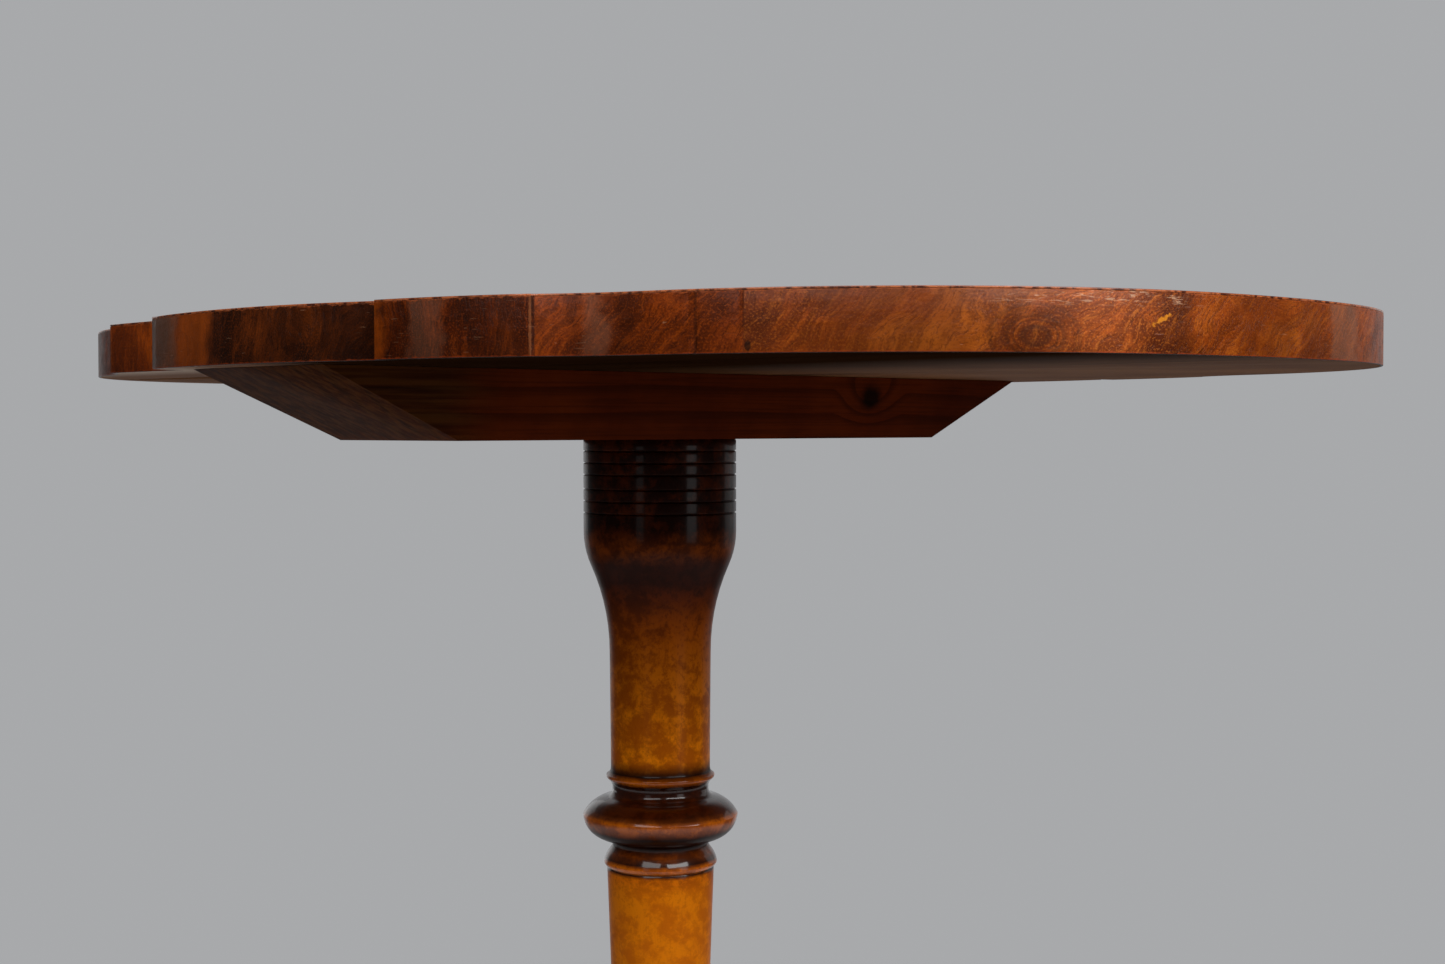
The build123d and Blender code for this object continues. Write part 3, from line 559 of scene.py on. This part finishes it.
def finish_nodes():
    """Gives every CAD node its finished piece and its material."""
    bright = (srgb(196, 104, 28), srgb(148, 64, 9), srgb(78, 28, 3))
    warm = (srgb(178, 78, 10), srgb(128, 50, 4), srgb(62, 20, 1))
    middle = (srgb(152, 64, 10), srgb(90, 32, 4), srgb(40, 12, 1))
    deep = (srgb(132, 58, 12), srgb(60, 23, 4), srgb(26, 9, 2))
    looks = {
        "edge_left_lobe": (1.0, deep, 0.35), "edge_left_tab_front": (2.0, middle, -0.1),
        "edge_left_tab_back": (3.0, warm, 0.1), "edge_front_1": (4.0, warm, 0.55),
        "edge_front_2": (5.0, warm, 0.35), "edge_front_3": (6.0, bright, 0.7),
        "edge_front_4": (6.0, bright, 0.7), "edge_right_lobe": (8.0, middle, -0.4),
        "edge_right_tab_front": (9.0, deep, 0.2), "edge_right_tab_back": (10.0, middle, 0.0),
        "edge_back_1": (11.0, middle, 0.5), "edge_back_2": (12.0, bright, -0.5),
        "edge_back_3": (13.0, middle, 0.6), "edge_back_4": (14.0, bright, -0.3),
    }
    for node, (seed, tones, lean) in looks.items():
        rebuilt(node, edge_veneer(node + "_shellac", node, seed, tones, lean), 0.35 * MM, level_only=True)
    flame = face_veneer("face_flame")
    for index in range(1, 5):
        rebuilt(f"face_veneer_{index}", flame, 0.3 * MM, level_only=True)
    for index in range(1, 6):
        pith = (0.03 * index - 0.09, UNDER_Z + (0.05 if index % 2 else -0.06))
        aged = softwood(f"underside_{index}", "x", pith, srgb(138, 92, 56), srgb(104, 63, 34),
                        srgb(68, 37, 17), 0.62, dirt_and_shade=0.92)
        rebuilt(f"top_plank_{index}", aged)
    side = BLOCK_HIGH.x - 2 * MM
    knot = ((side, 0.120, 0.702), 7 * MM)
    block = softwood("block_stain", "y", (COLUMN_X + 0.10, 0.60), srgb(104, 38, 4), srgb(76, 24, 1),
                     srgb(46, 12, 0), 0.60, knot, rings=95.0)
    rebuilt("bearer_block", block, 0.6 * MM)
    birch = turned_birch("column_birch", column_stain_and_shade(), polish_profile())
    rebuilt("column", birch, 0.25 * MM)
    leg_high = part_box("leg_back")[1].z
    leg_stain = [
        (0.0, srgb(60, 24, 5), srgb(36, 12, 2)), (0.03, srgb(150, 76, 12), srgb(96, 42, 5)),
        (leg_high - 0.04, srgb(150, 76, 12), srgb(96, 42, 5)), (leg_high, srgb(70, 28, 5), srgb(40, 14, 2)),
    ]
    leg_birch = turned_birch("leg_birch", leg_stain)
    for node in ("leg_back", "leg_left", "leg_right"):
        rebuilt(node, leg_birch, 2.2 * MM, 3)
    wedge = softwood("wedge_birch", "y", (COLUMN_X, 0.7), srgb(176, 132, 84), srgb(150, 106, 62),
                     srgb(110, 72, 38), 0.6)
    rebuilt("tenon_wedge", wedge)
    brass = metal("aged_brass", srgb(196, 156, 92), srgb(110, 80, 42), 0.28, 1.0)
    iron = metal("forged_iron", srgb(62, 58, 56), srgb(34, 28, 25), 0.5, 0.85)
    steel = metal("dull_screw", srgb(104, 98, 92), srgb(60, 46, 36), 0.42, 0.9)
    for node in frame["nodes"]:
        if node.startswith(("hinge_", "catch_")):
            rebuilt(node, brass, 0.18 * MM)
    rebuilt("spider_plate", iron, 0.5 * MM)
    rebuilt("spider_plate_screws", steel, 0.15 * MM)


# ---- studio ----
GREY = (0.392, 0.398, 0.408, 1.0)
DIM = (0.03, 0.03, 0.03, 1.0)
LIGHTS_AIM_Z = 0.62
ACROSS = Vector((0.7046, 0.7096, 0)).normalized()     # to the right in the main view
AHEAD = Vector((-ACROSS.y, ACROSS.x, 0))              # away from the camera in the main view


def studio():
    """A grey backdrop of limited width behind the table, a dim room round it, and a pale floor.

    The camera sees even grey all round. The object is lit and reflected by the backdrop and the room.
    """
    world = bpy.data.worlds.new("studio_grey")
    bpy.context.scene.world = world
    world.use_nodes = True
    g = Graph.of_world(world)
    facing = g.node("ShaderNodeVectorMath", {0: g.place, 1: AHEAD}, operation="DOT_PRODUCT").outputs["Value"]
    backdrop = g.between(facing, math.cos(math.radians(46)), math.cos(math.radians(24)))
    room = g.mix(backdrop, DIM, GREY)
    seen = g.mix(g.node("ShaderNodeLightPath").outputs["Is Camera Ray"], room, GREY)
    g.put(g.tree.nodes["Background"].inputs["Color"], seen)

    g = Graph("pale_floor")
    grain = g.noise(g.place, 7.0, 4.0)
    pale = g.ramp(grain, [(0.3, (0.60, 0.605, 0.615, 1.0)), (0.7, (0.625, 0.63, 0.64, 1.0))])
    finish = g.finish(pale, 0.8)
    clear = g.node("ShaderNodeBsdfTransparent").outputs[0]
    fade = g.between(g.distance(g.place, (COLUMN_X, 0.0, 0.0)), 0.75, 1.45)
    seen = g.node("ShaderNodeMixShader", {0: fade, 1: g.shader.outputs[0], 2: clear}).outputs[0]
    g.put(g.tree.nodes["Material Output"].inputs["Surface"], seen)
    bpy.ops.mesh.primitive_circle_add(vertices=96, radius=1.5, fill_type="NGON", location=(0, 0, -0.0005))
    floor = bpy.context.object
    floor.name = "floor"
    floor.data.materials.append(finish)


def area_light(name, azimuth, elevation, distance, size, radiance):
    """A soft box that faces the column.

    azimuth is counted from the camera's side of the table, positive to its right, in degrees.
    """
    turn = math.atan2(-AHEAD.y, -AHEAD.x) + math.radians(azimuth)
    rise = math.radians(elevation)
    aim = Vector((COLUMN_X, 0, LIGHTS_AIM_Z))
    towards = Vector((math.cos(turn) * math.cos(rise), math.sin(turn) * math.cos(rise), math.sin(rise)))
    data = bpy.data.lights.new(name, "AREA")
    data.shape = "RECTANGLE"
    data.size, data.size_y = size
    data.energy = radiance * math.pi * size[0] * size[1]
    lamp = bpy.data.objects.new(name, data)
    lamp.location = aim + towards * distance
    lamp.rotation_euler = (-towards).to_track_quat("-Z", "Y").to_euler()
    bpy.context.scene.collection.objects.link(lamp)


def lights():
    """Two big raised soft boxes in front, dim tall strips low in front and behind, and a panel overhead."""
    area_light("box_left", -19, 34, 2.6, (1.7, 1.3), 2.7)
    area_light("box_right", 41, 32, 2.6, (2.0, 1.3), 5.4)
    area_light("strip_left", -28, 3, 2.6, (0.5, 1.6), 0.35)
    area_light("strip_right", 50, 3, 2.6, (0.7, 1.6), 1.0)
    area_light("rim_right", 128, 4, 2.6, (1.1, 1.6), 0.35)
    area_light("rim_left", -150, 4, 2.6, (1.3, 1.6), 0.30)
    area_light("overhead", 20, 88, 2.2, (2.2, 2.2), 2.6)


def camera():
    """Almost level with the underside of the top, a little over a metre from the column, 50 mm lens."""
    right, level = ACROSS, AHEAD
    pitch, roll = 0.02795, -0.00105
    ahead = level * math.cos(pitch) - Vector((0, 0, math.sin(pitch)))
    up = right.cross(ahead)
    tilted_right = right * math.cos(roll) + up * math.sin(roll)
    tilted_up = up * math.cos(roll) - right * math.sin(roll)
    place = Vector((COLUMN_X, 0, TOP_Z - 0.0547)) + right * 0.0359 - level * 1.15
    data = bpy.data.cameras.new("camera")
    data.lens = 50
    data.sensor_width = 36
    eye = bpy.data.objects.new("camera", data)
    axes = Matrix((tilted_right, tilted_up, -ahead)).transposed()
    eye.matrix_world = Matrix.Translation(place) @ axes.to_4x4()
    bpy.context.scene.collection.objects.link(eye)
    bpy.context.scene.camera = eye
    bpy.context.scene.view_settings.view_transform = "Standard"


camera()
studio()
lights()
finish_nodes()
